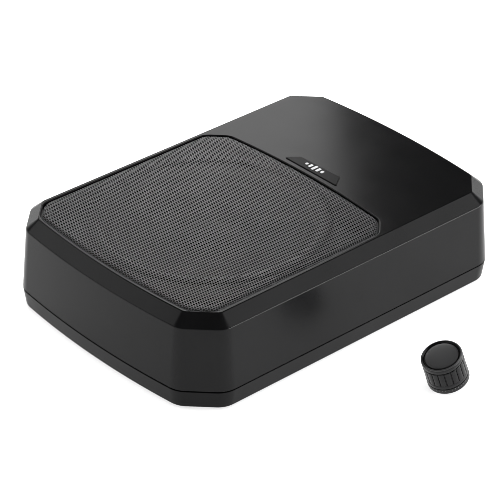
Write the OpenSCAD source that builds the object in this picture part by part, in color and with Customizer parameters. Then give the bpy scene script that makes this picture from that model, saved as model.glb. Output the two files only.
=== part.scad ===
// Low-profile powered subwoofer for a car, with its remote level control.
// X runs along the length towards the control panel, Y across, Z up.
// The origin is the centre of the four mounting inserts, on the underside of the base pan.

/* [Body] */
// Overall length at the parting line, over the bowed ends
body_len = 350; // [340:1:370]
// Overall width at the parting line
body_wid = 246.8; // [244:0.1:250]
// Height of the body from the underside of the base to the deck
body_hgt = 79.4; // [79:0.1:81]
// Radius of the bowed ends, seen from above
bow_radius = 790; // [700:10:1200]
// Radius that blends each corner cut into the sides
corner_blend = 20.6; // [16:0.1:24]
// Wall thickness of the housing
wall = 2.8; // [2.4:0.1:3.2]
// Height of the parting line above the underside
parting_z = 16.2; // [15.5:0.1:17]
// Open gap at the parting line
parting_gap = 1; // [0.8:0.1:1.2]
// Height at which the wall turns into the bevel
bevel_z = 70.5; // [69:0.1:71.5]
// Horizontal width of the bevel
bevel_in = 10.25; // [9.5:0.05:10.5]
// How far the wall leans in between the parting line and the bevel
wall_lean = 4.35; // [3:0.05:5]
// How far the base pan leans in at its underside
base_lean = 2.1; // [1:0.1:3]

/* [Grille] */
// Middle of the grille and of the driver, along the length
grille_x = -51.8; // [-53:0.1:-50]
// Length of the grille recess over its bowed ends
grille_len = 212; // [208:1:213]
// Width of the grille recess
grille_wid = 211.2; // [206:0.2:212]
// Thickness of the grille sheet
grille_sheet = 1; // [0.6:0.1:1.2]

/* [Driver] */
// Outside radius of the basket flange
flange_r = 100; // [98:0.5:101]
// Outside radius of the cone
cone_r = 74; // [72:1:76]
// Radius of the dust cap
cap_r = 30; // [26:1:34]
// Outside radius of the ferrite magnet
magnet_r = 56; // [50:1:60]
// Thickness of the ferrite magnet
magnet_t = 14; // [12:1:14]
// Inside radius of the voice coil former
former_r = 19.2; // [19:0.1:19.4]
// Number of screws that hold the driver
driver_screws_n = 8; // [4:1:12]

/* [Remote] */
// Outside radius of the remote level control
remote_r = 16.7; // [15:0.1:18]
// Height of the remote from its back face to the rim of its knob
remote_h = 26.2; // [26:0.1:28]
// Number of ribs around the knob
rib_count = 20; // [16:1:24]
// Radius of the bushing on the back of the remote
bushing_r = 4; // [3.5:0.1:4.5]
// Angle at which the remote leans on its bushing and its rim
remote_tilt = 19.6; // [15:0.1:25]
// Compass heading of the lean, from +X towards +Y
remote_heading = 173; // [150:1:210]

/* [Hidden] */
$fn = 64;

eps = 0.01;

// ---- body outline ----
corner_sum = body_len / 2 + body_wid / 2 - 33.5;
top_off = -wall_lean - bevel_in;
deck_t = 3;

// ---- grille recess ----
grille_corner_sum = grille_len / 2 + grille_wid / 2 - 20.8;
grille_blend = 14;
ledge_z = body_hgt - 3;
baffle_top = 66;
baffle_t = 4;
recess_ledge = 2.2;
mesh_top = body_hgt + 0.4;

// ---- driver, heights above the underside of the base ----
flange_z = baffle_top + 1;
flange_t = 2.5;
baffle_hole_r = flange_r - 11;
landing_z = 46.5;
top_plate_z = 30;
top_plate_t = 5;
magnet_z = top_plate_z - magnet_t;
yoke_t = 6;
pole_r = 18.4;
cone_edge_z = flange_z + flange_t;
neck_z = 54;
screw_circle_r = flange_r - 4.5;
former_wall = 0.4;
coil_wall = 0.8;
landing_r = 60;

// ---- fasteners ----
boss_r = 4.5;
screw_r = 1.6;
base_boss_at = [
    [-146, -87], [-146, 87], [grille_x, -111.5], [grille_x, 111.5],
    [56, -111.5], [56, 111.5], [151, -91], [151, 91]
];
insert_dx = 140;
insert_dy = 60;
insert_r = 2.5;
insert_h = 10;
foot_at = [[-118, -92], [-118, 92], [118, -92], [118, 92]];
foot_r = 8;
foot_t = 1.6;

// ---- control panel, at the +X end ----
panel_x = 163;
panel_t = 2;
panel_y = 84;
panel_z0 = 21;
panel_z1 = 67;
panel_gap = 0.3;
seat_y = 79;
seat_z0 = 24;
seat_z1 = 64;
knob_row_z = 54.5;
socket_row_z = 36;
board_x = 150;
board_t = 1.6;
knob_y = [-60, -36, -12];
switch_y = [12, 34];
led_y = 56;
rca_y = [-66, -47];
rca_r = 4.15;
rca_end_x = panel_x + 8;
remote_socket_y = -23;
signal_socket_y = 4;
power_socket_y = 37;
fuse_y = 67;
shaft_r = 3;

// ---- amplifier ----
amp_board_x = [66, 146];
amp_board_y = 84;
amp_board_z = 16;
amp_board_t = 1.6;
amp_top = amp_board_z + amp_board_t;

// ---- remote, in its own frame, with its back face at zero ----
remote_x = 12.7;
remote_y = -207.8;
floor_z = -foot_t;
bushing_len = tan(remote_tilt) * (remote_r - bushing_r);
housing_h = 4.4;
knob_z0 = 4.8;
skirt_h = 3.4;
rim_h = 4.2;
cap_disc_r = 12.6;

// One quarter of an outline with bowed ends and blended 45 degree corner cuts, from the
// +X end round to the +Y side. half_l and half_w are its half sizes, cut_sum is x + y along
// the corner cut, d moves the whole outline outwards.
function quarter(half_l, half_w, radius, cut_sum, blend, d) =
    let (
        x0 = half_l - radius,
        rb = radius + d,
        r = blend + d,
        k = cut_sum + d * sqrt(2) - r * sqrt(2),
        s = k - x0,
        v = (s - sqrt(2 * pow(rb - r, 2) - s * s)) / 2,
        u = s - v,
        turn = atan2(v, u),
        side_y = half_w + d - r,
        side_x = k - side_y
    )
    concat(
        [for (i = [0:4]) [x0 + rb * cos(turn * i / 5), rb * sin(turn * i / 5)]],
        [for (i = [0:4]) let (a = turn + (45 - turn) * i / 4) [x0 + u + r * cos(a), v + r * sin(a)]],
        [for (i = [0:4]) let (a = 45 + 45 * i / 4) [side_x + r * cos(a), side_y + r * sin(a)]]
    );

function around(q) =
    let (n = len(q))
    concat(
        q,
        [for (i = [n - 1:-1:1]) [-q[i][0], q[i][1]]],
        [for (i = [0:n - 1]) [-q[i][0], -q[i][1]]],
        [for (i = [n - 1:-1:1]) [q[i][0], -q[i][1]]]
    );

function body_outline(d) =
    around(quarter(body_len / 2, body_wid / 2, bow_radius, corner_sum, corner_blend, d));

function grille_outline(d) =
    [for (p = around(quarter(grille_len / 2, grille_wid / 2, bow_radius, grille_corner_sum,
        grille_blend, d))) [p[0] + grille_x, p[1]]];

// A solid through outlines that all have the same number of points; heights holds one z for each.
module loft(outlines, heights) {
    n = len(outlines[0]);
    m = len(heights);
    points = [for (j = [0:m - 1]) for (p = outlines[j]) [p[0], p[1], heights[j]]];
    sides = [for (j = [0:m - 2]) for (i = [0:n - 1])
        [j * n + i, (j + 1) * n + i, (j + 1) * n + (i + 1) % n, j * n + (i + 1) % n]];
    polyhedron(
        points,
        concat(sides, [[for (i = [0:n - 1]) i]], [[for (i = [n - 1:-1:0]) (m - 1) * n + i]]),
        convexity = 4
    );
}

module body_loft(levels) {
    loft([for (l = levels) body_outline(l[1])], [for (l = levels) l[0]]);
}

module grille_slab(d, z0, z1) {
    translate([0, 0, z0]) linear_extrude(z1 - z0) polygon(grille_outline(d));
}

// A round tube swept along a list of points.
module sweep_tube(route, radius, sides = 8) {
    n = len(route);
    dirs = [for (i = [0:n - 1])
        let (d = route[min(i + 1, n - 1)] - route[max(i - 1, 0)]) d / norm(d)];
    side = [for (d = dirs) let (c = cross(d, [0, 0.2, 1])) c / norm(c)];
    points = [for (i = [0:n - 1]) for (k = [0:sides - 1])
        let (w = cross(dirs[i], side[i]), a = 360 * k / sides)
        route[i] + radius * (cos(a) * side[i] + sin(a) * w)];
    walls = [for (i = [0:n - 2]) for (k = [0:sides - 1])
        [i * sides + k, (i + 1) * sides + k, (i + 1) * sides + (k + 1) % sides,
            i * sides + (k + 1) % sides]];
    polyhedron(
        points,
        concat(walls, [[for (k = [0:sides - 1]) k]],
            [[for (k = [sides - 1:-1:0]) (n - 1) * sides + k]])
    );
}

module tube(outer_r, inner_r, height) {
    difference() {
        cylinder(r = outer_r, h = height);
        translate([0, 0, -1]) cylinder(r = inner_r, h = height + 2);
    }
}

module at_driver() {
    translate([grille_x, 0, 0]) children();
}

// Places children with their own +Z along the row's +X, on the panel.
module on_panel(x, y, z) {
    translate([x, y, z]) rotate([0, 90, 0]) children();
}

module panel_block(x0, x1, y, z, size_y, size_z) {
    translate([x0, y - size_y / 2, z - size_z / 2]) cube([x1 - x0, size_y, size_z]);
}

module at_each(places) {
    for (p = places) translate([p[0], p[1], 0]) children();
}

// ================= housing =================

module top_shell() {
    bottom = parting_z + parting_gap / 2;
    lean_here = -wall_lean * (bottom - parting_z) / (bevel_z - parting_z);
    color("#1c1c1e") difference() {
        union() {
            difference() {
                body_loft([[bottom, lean_here], [bevel_z, -wall_lean], [body_hgt, top_off]]);
                body_loft([[bottom - 1, lean_here - wall], [bevel_z - 1, -wall_lean - wall],
                    [body_hgt - deck_t, top_off - 2]]);
            }
            grille_slab(2.2, baffle_top - baffle_t, body_hgt - eps);
            shell_bosses();
            window_frame();
        }
        grille_slab(0, ledge_z, body_hgt + 1);
        grille_slab(-recess_ledge, baffle_top, body_hgt);
        at_driver() translate([0, 0, baffle_top - 10]) cylinder(r = baffle_hole_r, h = 20);
        at_driver() driver_screw_places() translate([0, 0, baffle_top - 10])
            cylinder(r = screw_r, h = 20);
        at_each(base_boss_at) translate([0, 0, 2]) cylinder(r = screw_r, h = 16);
        window_cut();
        translate([body_len / 2 - 115, 0, body_hgt - 0.8]) badge_slot();
    }
}

// Columns that take the screws from the base; two end under the driver's baffle, the rest
// reach up to the deck.
module shell_bosses() {
    for (p = base_boss_at) {
        top = p[0] > -100 ? body_hgt - deck_t + eps : baffle_top - 1;
        translate([p[0], p[1], 3]) cylinder(r = boss_r, h = top - 3);
    }
}

// Solid frame around the recess of the control panel, with the seat the panel is screwed to.
module window_frame() {
    intersection() {
        translate([panel_x - 6, -panel_y - 4, panel_z0 - 3])
            cube([36, 2 * panel_y + 8, panel_z1 - panel_z0 + 6]);
        body_loft([[parting_z + 1, -1], [bevel_z, -wall_lean - 1], [body_hgt, top_off - 1]]);
    }
}

module window_cut() {
    translate([panel_x - panel_t, -panel_y - panel_gap, panel_z0 - panel_gap])
        cube([40, 2 * (panel_y + panel_gap), panel_z1 - panel_z0 + 2 * panel_gap]);
    translate([panel_x - 10, -seat_y, seat_z0]) cube([20, 2 * seat_y, seat_z1 - seat_z0]);
    for (p = panel_screw_at) on_panel(panel_x - 8.5, p[0], p[1]) cylinder(r = 1.3, h = 10);
}

module badge_slot() {
    linear_extrude(2) polygon([[-1, -29.6], [-1, 32.6], [9.6, 24], [10.8, -21.4]]);
}

module base_pan() {
    top = parting_z - parting_gap / 2;
    lean_top = -base_lean * (parting_z - top) / parting_z;
    color("#1a1a1b") difference() {
        union() {
            difference() {
                body_loft([[0, -base_lean - 0.8], [1.2, -base_lean], [top, lean_top]]);
                body_loft([[3, -base_lean - wall], [top + 1, lean_top - wall]]);
            }
            at_each([for (sx = [-1, 1]) for (sy = [-1, 1]) [sx * insert_dx, sy * insert_dy]])
                cylinder(r = 6.5, h = insert_h + 2);
        }
        at_each([for (sx = [-1, 1]) for (sy = [-1, 1]) [sx * insert_dx, sy * insert_dy]])
            translate([0, 0, -1]) cylinder(r = insert_r + 1.3, h = insert_h + 1);
        at_each(base_boss_at) translate([0, 0, -1]) cylinder(r = screw_r, h = 6);
        at_each(base_boss_at) translate([0, 0, -1]) cylinder(r = 3.2, h = 2.4);
    }
}

module shell_gasket() {
    color("#0c0c0c") translate([0, 0, parting_z - parting_gap / 2]) linear_extrude(parting_gap)
        difference() {
            polygon(body_outline(-1.1));
            polygon(body_outline(-wall));
        }
}

module base_screws() {
    color("#2b2b2d") at_each(base_boss_at) {
        translate([0, 0, 0.1]) difference() {
            cylinder(r = 3, h = 1.3);
            translate([0, 0, -1]) cylinder(r = 1.4, h = 1.9, $fn = 6);
        }
        translate([0, 0, 1.4]) cylinder(r = screw_r, h = 14);
    }
}

module threaded_inserts() {
    color("#b08d3e") at_each([for (sx = [-1, 1]) for (sy = [-1, 1]) [sx * insert_dx, sy * insert_dy]])
        tube(insert_r + 1.3, insert_r, insert_h);
}

module rubber_feet() {
    color("#0f0f0f") at_each(foot_at) translate([0, 0, -foot_t]) {
        cylinder(r1 = foot_r - 1, r2 = foot_r, h = 0.8);
        translate([0, 0, 0.8]) cylinder(r = foot_r, h = foot_t - 0.8);
    }
}

// ================= grille and badge =================

// Sheet with its edge folded down into the recess.
module grille_mesh() {
    fold_z = ledge_z + 0.2;
    color("#4c4c4e") difference() {
        loft([grille_outline(-1), grille_outline(-1.2), grille_outline(-3)],
            [fold_z, mesh_top - 1.6, mesh_top]);
        loft([grille_outline(-1 - grille_sheet), grille_outline(-1.2 - grille_sheet),
            grille_outline(-3.4)], [fold_z - 1, mesh_top - 2.2, mesh_top - grille_sheet]);
    }
}

module grille_frame() {
    color("#101010") translate([0, 0, baffle_top]) linear_extrude(ledge_z + 1 - baffle_top)
        difference() {
            polygon(grille_outline(-recess_ledge - 0.2));
            translate([grille_x, 0]) circle(r = flange_r + 1.3, $fn = 96);
            polygon(grille_outline(-6.2));
        }
}

module badge() {
    color("#0b0b0c") translate([body_len / 2 - 115, 0, body_hgt - 0.8])
        linear_extrude(1.6) polygon([[-1, -29.6], [-1, 32.6], [9.6, 24], [10.8, -21.4]]);
}

// Five plain bars of different height, as on a level meter.
module badge_bars() {
    heights = [3.4, 5.4, 7, 4.6, 2.6];
    color("#d8d8da") for (i = [0:4])
        translate([body_len / 2 - 110.5, -6.5 + i * 4.6 - 1.2, body_hgt + 0.8 + 0.2])
            translate([-heights[i] / 2 + 0.5, 0, -0.2]) cube([heights[i], 2.4, 0.3]);
}

// ================= driver =================

module driver_screw_places() {
    for (i = [0:driver_screws_n - 1])
        rotate([0, 0, 360 * (i + 0.5) / driver_screws_n]) translate([screw_circle_r, 0, 0]) children();
}

module driver_basket() {
    wall_t = 1.4;
    color("#26272a") at_driver() difference() {
        rotate_extrude($fn = 96) polygon([
            [flange_r, flange_z], [flange_r, cone_edge_z], [cone_r + 12.5, cone_edge_z],
            [cone_r + 12, flange_z + 1], [landing_r + 6, landing_z + 1.2], [landing_r + 5.4, landing_z],
            [landing_r - 2, landing_z], [landing_r - 2, landing_z - 1.6], [landing_r - 5.5, top_plate_z + 7],
            [24, top_plate_z + 7], [24, top_plate_z + 5], [landing_r - 4, top_plate_z + 5],
            [landing_r, landing_z - 2.4], [landing_r + 7, landing_z - 2.4],
            [landing_r + 8, landing_z], [cone_r + 13.4, flange_z - wall_t], [cone_r + 14, flange_z]
        ]);
        for (i = [0:5]) rotate([0, 0, 60 * i])
            translate([landing_r + 4, -22, landing_z + 2.6]) cube([30, 44, 14.4]);
        driver_screw_places() translate([0, 0, flange_z - 1]) cylinder(r = screw_r, h = 6);
    }
}

module driver_gasket() {
    color("#161616") at_driver() difference() {
        translate([0, 0, baffle_top]) tube(flange_r, baffle_hole_r, flange_z - baffle_top);
        driver_screw_places() translate([0, 0, baffle_top - 1]) cylinder(r = screw_r, h = 4);
    }
}

module driver_screws() {
    color("#2f3033") at_driver() driver_screw_places() {
        translate([0, 0, baffle_top - 3.8]) cylinder(r = screw_r, h = cone_edge_z - baffle_top + 3.8);
        translate([0, 0, cone_edge_z]) difference() {
            cylinder(r = 3, h = 1.8);
            translate([0, 0, 0.6]) cylinder(r = 1.3, h = 2, $fn = 6);
        }
    }
}

// Half-roll surround with a lip on each side.
module surround() {
    mid = cone_r + 6.6;
    roll = 5.4;
    skin = 1;
    color("#17181a") at_driver() translate([0, 0, cone_edge_z]) rotate_extrude($fn = 96) difference() {
        union() {
            translate([mid, 0]) circle(r = roll, $fn = 48);
            translate([mid - roll - 5, 0]) square([2 * roll + 10, skin]);
        }
        translate([mid, 0]) circle(r = roll - skin, $fn = 48);
        translate([mid - 20, -20]) square([60, 20]);
    }
}

module cone() {
    t = 0.9;
    color("#1d1f22") at_driver() rotate_extrude($fn = 96) polygon([
        [former_r + former_wall, neck_z], [cone_r, cone_edge_z - t], [cone_r, cone_edge_z],
        [cone_r - 4, cone_edge_z], [former_r + former_wall, neck_z + 2]
    ]);
}

module dust_cap() {
    rim_z = neck_z + 2 + (cap_r - former_r - former_wall) / (cone_r - 4 - former_r - former_wall)
        * (cone_edge_z - neck_z - 2);
    rise = 7;
    sphere_r = (cap_r * cap_r + rise * rise) / (2 * rise);
    half = asin(cap_r / sphere_r);
    color("#222427") at_driver() translate([0, 0, rim_z + rise - sphere_r]) rotate_extrude($fn = 96)
        polygon(concat(
            [for (i = [0:12]) let (a = half * i / 12) [sphere_r * sin(a), sphere_r * cos(a)]],
            [for (i = [12:-1:0]) let (a = (half - 1.2) * i / 12)
                [(sphere_r - 0.7) * sin(a), (sphere_r - 0.7) * cos(a)]]
        ));
}

module coil_former() {
    color("#8a5a2b") at_driver() translate([0, 0, 24])
        tube(former_r + former_wall, former_r, neck_z + 2 - 24);
}

module voice_coil() {
    color("#b5652a") at_driver() translate([0, 0, 25.5])
        tube(former_r + former_wall + coil_wall, former_r + former_wall, 14);
}

// Corrugated suspension disc between the coil former and the basket.
module spider() {
    inner = former_r + former_wall;
    outer = landing_r + 5;
    t = 0.7;
    rise = 1.1;
    steps = 44;
    function wave(i) = landing_z + rise * (1 - cos(360 * 5 * i / steps)) / 2;
    function rad(i) = inner + (outer - inner) * i / steps;
    color("#9a7a3c") at_driver() rotate_extrude($fn = 96) polygon(concat(
        [for (i = [0:steps]) [rad(i), wave(i)]],
        [for (i = [steps:-1:0]) [rad(i), wave(i) + t]]
    ));
}

module top_plate() {
    color("#9b9da1") at_driver() translate([0, 0, top_plate_z]) tube(magnet_r - 3, former_r + 2, top_plate_t);
}

module magnet() {
    color("#2d2e31") at_driver() translate([0, 0, magnet_z]) tube(magnet_r, 28, magnet_t);
}

module yoke() {
    color("#9b9da1") at_driver() difference() {
        union() {
            translate([0, 0, magnet_z - yoke_t]) cylinder(r = magnet_r - 2, h = yoke_t);
            translate([0, 0, magnet_z - 1]) cylinder(r = pole_r, h = top_plate_z + top_plate_t + 1 - magnet_z);
        }
        translate([0, 0, magnet_z - yoke_t - 1]) cylinder(r = 6, h = 60);
    }
}

// Solder tabs under the landing ring of the basket, on the amplifier side.
module terminal_block() {
    color("#c8b27a") at_driver() translate([landing_r + 0.6, -7, landing_z - 8]) cube([6.4, 14, 5.6]);
}

tinsel_route = [
    [landing_r + 7, 42.6], [landing_r + 10.6, 42.8], [landing_r + 13, 45], [landing_r + 13.2, 49.8],
    [landing_r + 10.5, 52.8], [landing_r + 4, 53.4], [landing_r - 8, 52], [landing_r - 20, 51.6],
    [landing_r - 30, 52.6], [former_r + 4, 52.4], [former_r + 1.2, 51.6]
];

module tinsel_leads() {
    color("#b98a5a") at_driver() for (s = [-1, 1])
        sweep_tube([for (i = [0:len(tinsel_route) - 1])
            [tinsel_route[i][0], s * (5 - i * 0.3), tinsel_route[i][1]]], 0.6);
}

wire_route = [
    [15.3, 40], [22, 40], [30, 37.5], [38, 32], [46, 26.5], [54, 23.4], [61, 22.4], [67, 22.2]
];

module speaker_wires() {
    for (s = [-1, 1]) color(s > 0 ? "#8c1d1d" : "#111111")
        sweep_tube([for (p = wire_route) [p[0] + 0.2, s * 3.2, p[1]]], 1.1);
}

// ================= amplifier =================

module amp_board() {
    color("#1d4a2c") difference() {
        translate([amp_board_x[0], -amp_board_y, amp_board_z])
            cube([amp_board_x[1] - amp_board_x[0], 2 * amp_board_y, amp_board_t]);
        at_each(standoff_at) translate([0, 0, amp_board_z - 1]) cylinder(r = 1.5, h = 4);
    }
}

standoff_at = [for (x = [71, 128]) for (y = [-78, 78]) [x, y]];

module board_standoffs() {
    color("#c9a94f") at_each(standoff_at) {
        translate([0, 0, 3]) cylinder(r = 3.2, h = amp_board_z - 3, $fn = 6);
        translate([0, 0, amp_board_z]) cylinder(r = 1.5, h = amp_board_t);
        translate([0, 0, amp_top]) cylinder(r = 2.8, h = 1.8);
    }
}

// Extruded bar with fins on the side away from the transistors.
module heatsink() {
    color("#a9abae") union() {
        translate([88, -70, amp_top]) cube([4, 140, 36]);
        for (i = [0:6]) translate([79, -70, amp_top + 1 + i * 5.4]) cube([9 + eps, 140, 1.8]);
    }
}

module transistors() {
    color("#19191b") for (y = [-54, -30, 30, 54]) {
        translate([92, y - 5, amp_top + 6]) cube([4.4, 10, 15]);
        for (k = [-1:1]) translate([93.6, y + k * 2.5 - 0.4, amp_top]) cube([0.8, 0.8, 6 + eps]);
    }
}

// Wound ring on a round plastic foot.
module inductor() {
    color("#a05a22") translate([118, -48, amp_top]) {
        cylinder(r = 14, h = 2.5);
        translate([0, 0, 8]) rotate_extrude($fn = 64) translate([12.5, 0]) circle(r = 6.8, $fn = 32);
    }
}

module capacitors() {
    color("#20242c") for (p = [[106, 26], [106, 46], [126, 26], [126, 46]])
        translate([p[0], p[1], amp_top]) cylinder(r = 8, h = 32);
}

module transformer() {
    color("#6b5a2a") translate([100, -20, amp_top]) union() {
        cube([30, 30, 6]);
        translate([3, 3, 6 - eps]) cube([24, 24, 14]);
        translate([0, 0, 20 - 2 * eps]) cube([30, 30, 5]);
    }
}

module speaker_header() {
    color("#d9d4c4") translate([67.2, -8, amp_top]) cube([8, 16, 9]);
}

// ================= control panel =================

module control_board() {
    color("#1d4a2c") translate([board_x, -76, amp_top + 1]) cube([board_t, 152, 46]);
}

module control_panel() {
    back = panel_x - panel_t;
    color("#202022") difference() {
        panel_block(back, panel_x, 0, (panel_z0 + panel_z1) / 2, 2 * panel_y, panel_z1 - panel_z0);
        for (y = knob_y) on_panel(back - 1, y, knob_row_z) cylinder(r = shaft_r + 0.4, h = 5);
        for (y = switch_y) panel_block(back - 1, panel_x + 1, y, knob_row_z, 8, 4);
        on_panel(back - 1, led_y, knob_row_z) cylinder(r = 1.6, h = 5);
        for (y = rca_y) on_panel(back - 1, y, socket_row_z) cylinder(r = rca_r, h = 5);
        panel_block(back - 1, panel_x + 1, remote_socket_y, socket_row_z, 15, 13);
        panel_block(back - 1, panel_x + 1, signal_socket_y, socket_row_z, 25, 14);
        panel_block(back - 1, panel_x + 1, power_socket_y, socket_row_z, 29, 16);
        panel_block(back - 1, panel_x + 1, fuse_y, socket_row_z, 22, 9);
        for (p = panel_screw_at) on_panel(back - 1, p[0], p[1]) cylinder(r = 1.3, h = 5);
    }
}

panel_screw_at = [for (y = [-81.5, 81.5]) for (z = [30, 58]) [y, z]];

module panel_screws() {
    color("#3a3b3e") for (p = panel_screw_at) {
        on_panel(panel_x, p[0], p[1]) difference() {
            cylinder(r = 2.5, h = 1.5);
            translate([0, 0, 0.6]) cylinder(r = 1.1, h = 2, $fn = 6);
        }
        on_panel(panel_x - 7, p[0], p[1]) cylinder(r = 1.3, h = 7);
    }
}

// Barrels of the pair of line inputs, each with its collar on the panel.
module rca_jacks() {
    color("#b9b9bd") for (y = rca_y) on_panel(board_x + board_t, y, socket_row_z) difference() {
        union() {
            cylinder(r = rca_r, h = rca_end_x - board_x - board_t);
            translate([0, 0, panel_x - board_x - board_t]) cylinder(r = 5.8, h = 1.5);
        }
        translate([0, 0, 2]) cylinder(r = 3.3, h = 30);
    }
}

module rca_insulators() {
    for (i = [0:1]) color(i == 0 ? "#e8e8e8" : "#a3161b")
        on_panel(board_x + board_t + 2, rca_y[i], socket_row_z) difference() {
            cylinder(r = 3.3, h = rca_end_x - board_x - board_t - 2.6);
            translate([0, 0, 4]) cylinder(r = 1.7, h = 20);
        }
}

// A rectangular socket, closed at the back and open towards +X.
module socket_shell(y, size_y, size_z, skin, depth) {
    front = panel_x + 1;
    difference() {
        union() {
            panel_block(board_x + board_t, front, y, socket_row_z, size_y, size_z);
            panel_block(panel_x, front, y, socket_row_z, size_y + 2, size_z + 2);
        }
        panel_block(front - depth, front + 1, y, socket_row_z, size_y - 2 * skin, size_z - 2 * skin);
    }
}

module remote_socket() {
    color("#3a3a3a") socket_shell(remote_socket_y, 15, 13, 1.6, 11);
}

module signal_socket() {
    color("#e6e2d6") socket_shell(signal_socket_y, 25, 14, 1.5, 10);
}

module power_socket() {
    color("#1f1f1f") socket_shell(power_socket_y, 29, 16, 1.8, 10);
}

module socket_pins() {
    x0 = panel_x + 1 - 10;
    color("#c9b46a") {
        for (i = [-1.5:1.5]) panel_block(x0, x0 + 4, signal_socket_y + i * 5, socket_row_z, 1, 1);
        for (i = [-1:1]) panel_block(x0, x0 + 4, power_socket_y + i * 8, socket_row_z, 3, 1);
    }
}

module fuse_holder() {
    color("#262628") difference() {
        panel_block(board_x + board_t, panel_x + 0.8, fuse_y, socket_row_z, 22, 9);
        panel_block(panel_x - 8, panel_x + 2, fuse_y, socket_row_z, 19.4, 5.4);
        for (s = [-1, 1]) panel_block(panel_x - 10.8, panel_x, fuse_y + s * 7, socket_row_z, 5.4, 1);
    }
}

module fuse() {
    color("#c98a1a") union() {
        panel_block(panel_x - 7.7, panel_x + 4, fuse_y, socket_row_z, 19, 5);
        for (s = [-1, 1])
            panel_block(panel_x - 10.5, panel_x - 7.7 + eps, fuse_y + s * 7, socket_row_z, 5, 0.8);
    }
}

module status_led() {
    color("#2f6fd0") on_panel(panel_x - 8, led_y, knob_row_z) {
        cylinder(r = 1.6, h = 8.2);
        translate([0, 0, 8.2]) sphere(r = 1.6);
    }
}

module pot_bodies() {
    color("#2a4f8a") for (y = knob_y) difference() {
        panel_block(board_x + board_t, panel_x - panel_t, y, knob_row_z, 11, 11);
        on_panel(board_x + board_t + 2, y, knob_row_z) cylinder(r = shaft_r + 0.05, h = 12);
    }
}

module switch_bodies() {
    color("#8f9195") for (y = switch_y) difference() {
        panel_block(board_x + board_t, panel_x - panel_t, y, knob_row_z, 13, 7);
        panel_block(panel_x - panel_t - 3, panel_x, y, knob_row_z, 8, 3);
    }
}

// Small control knob with a pointer groove, on a shaft that turns in its potentiometer.
module control_knob(y) {
    on_panel(panel_x + 0.5, y, knob_row_z) difference() {
        union() {
            cylinder(r1 = 5.8, r2 = 5, h = 6);
            translate([0, 0, -8.5]) cylinder(r = shaft_r, h = 8.6);
        }
        translate([-6, -0.5, 5.3]) cube([5.5, 1, 2]);
        for (i = [0:11]) rotate([0, 0, 30 * i + 15]) translate([5.9, 0, 0.8]) cylinder(r = 0.7, h = 7);
    }
}

module gain_knob() {
    color("#151516") control_knob(knob_y[0]);
}

module crossover_knob() {
    color("#151516") control_knob(knob_y[1]);
}

module boost_knob() {
    color("#151516") control_knob(knob_y[2]);
}

// Slide button; it rests at the -Y end of its slot.
module slide_button(y) {
    panel_block(panel_x - panel_t - 2.8, panel_x + 1.8, y - 1.9, knob_row_z, 3.6, 2.6);
}

module phase_switch() {
    color("#dedede") slide_button(switch_y[0]);
}

module sense_switch() {
    color("#dedede") slide_button(switch_y[1]);
}

// ================= remote level control =================

// The remote lies on the same surface as the feet, leaning on its bushing and its rim.
module at_remote() {
    translate([remote_x, remote_y, floor_z + remote_r * sin(remote_tilt)])
        rotate([0, 0, remote_heading]) rotate([0, remote_tilt, 0]) children();
}

module remote_housing() {
    color("#1b1b1c") at_remote() difference() {
        union() {
            cylinder(r = remote_r, h = housing_h);
            translate([0, 0, -bushing_len]) cylinder(r = bushing_r, h = bushing_len + 1);
        }
        translate([0, 0, 2]) cylinder(r = remote_r - 1.8, h = 5);
        translate([0, 0, -bushing_len - 1]) cylinder(r = 1.8, h = bushing_len + 4);
    }
}

module remote_board() {
    color("#1d4a2c") at_remote() translate([0, 0, 2]) cylinder(r = remote_r - 2, h = 1.2);
}

module remote_encoder() {
    color("#8f9195") at_remote() translate([0, 0, 3.2]) difference() {
        translate([-6, -6, 0]) cube([12, 12, 6]);
        translate([0, 0, 2]) cylinder(r = 3.05, h = 10);
    }
}

module remote_shaft() {
    color("#b9b9bd") at_remote() translate([0, 0, 5.4]) cylinder(r = 3, h = remote_h - 5.4 - 7);
}

// Ribbed sleeve with a plain skirt, a groove under its rim and a recess for the cap.
module remote_knob() {
    rib_z0 = skirt_h;
    rib_z1 = remote_h - knob_z0 - rim_h - 1;
    height = remote_h - knob_z0;
    color("#171718") at_remote() translate([0, 0, knob_z0]) difference() {
        union() {
            cylinder(r = remote_r - 0.1, h = skirt_h);
            translate([0, 0, rib_z0 - eps]) cylinder(r = remote_r - 0.3, h = rib_z1 - rib_z0 + 2 * eps);
            translate([0, 0, rib_z1]) cylinder(r = remote_r - 1.1, h = 1);
            translate([0, 0, rib_z1 + 1]) cylinder(r = remote_r - 0.2, h = rim_h - 0.8);
            translate([0, 0, height - 0.8]) cylinder(r1 = remote_r - 0.2, r2 = remote_r - 1.1, h = 0.8);
        }
        for (i = [0:rib_count - 1]) rotate([0, 0, 360 * i / rib_count])
            translate([remote_r - 1.1, -0.35, rib_z0]) cube([2, 0.7, rib_z1 - rib_z0]);
        translate([0, 0, height - 2.2]) cylinder(r = cap_disc_r + 1.4, h = 4);
        translate([0, 0, -1]) cylinder(r = 13.4, h = 6.5);
        translate([0, 0, 5]) tube(13.4, 5.5, height - 10.4);
        translate([0, 0, -1]) cylinder(r = 3, h = remote_h - 7 - knob_z0 + 1);
    }
}

// Dark ring between the cap and the rim.
module remote_ring() {
    color("#050505") at_remote() translate([0, 0, remote_h - 2.2]) tube(cap_disc_r + 1.4, cap_disc_r, 0.6);
}

module remote_cap() {
    color("#3a3b3d") at_remote() translate([0, 0, remote_h - 2.2]) union() {
        cylinder(r = cap_disc_r, h = 1.6);
        translate([0, 0, 1.6]) cylinder(r1 = cap_disc_r, r2 = cap_disc_r - 0.7, h = 0.7);
    }
}

// ================= nodes =================

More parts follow.
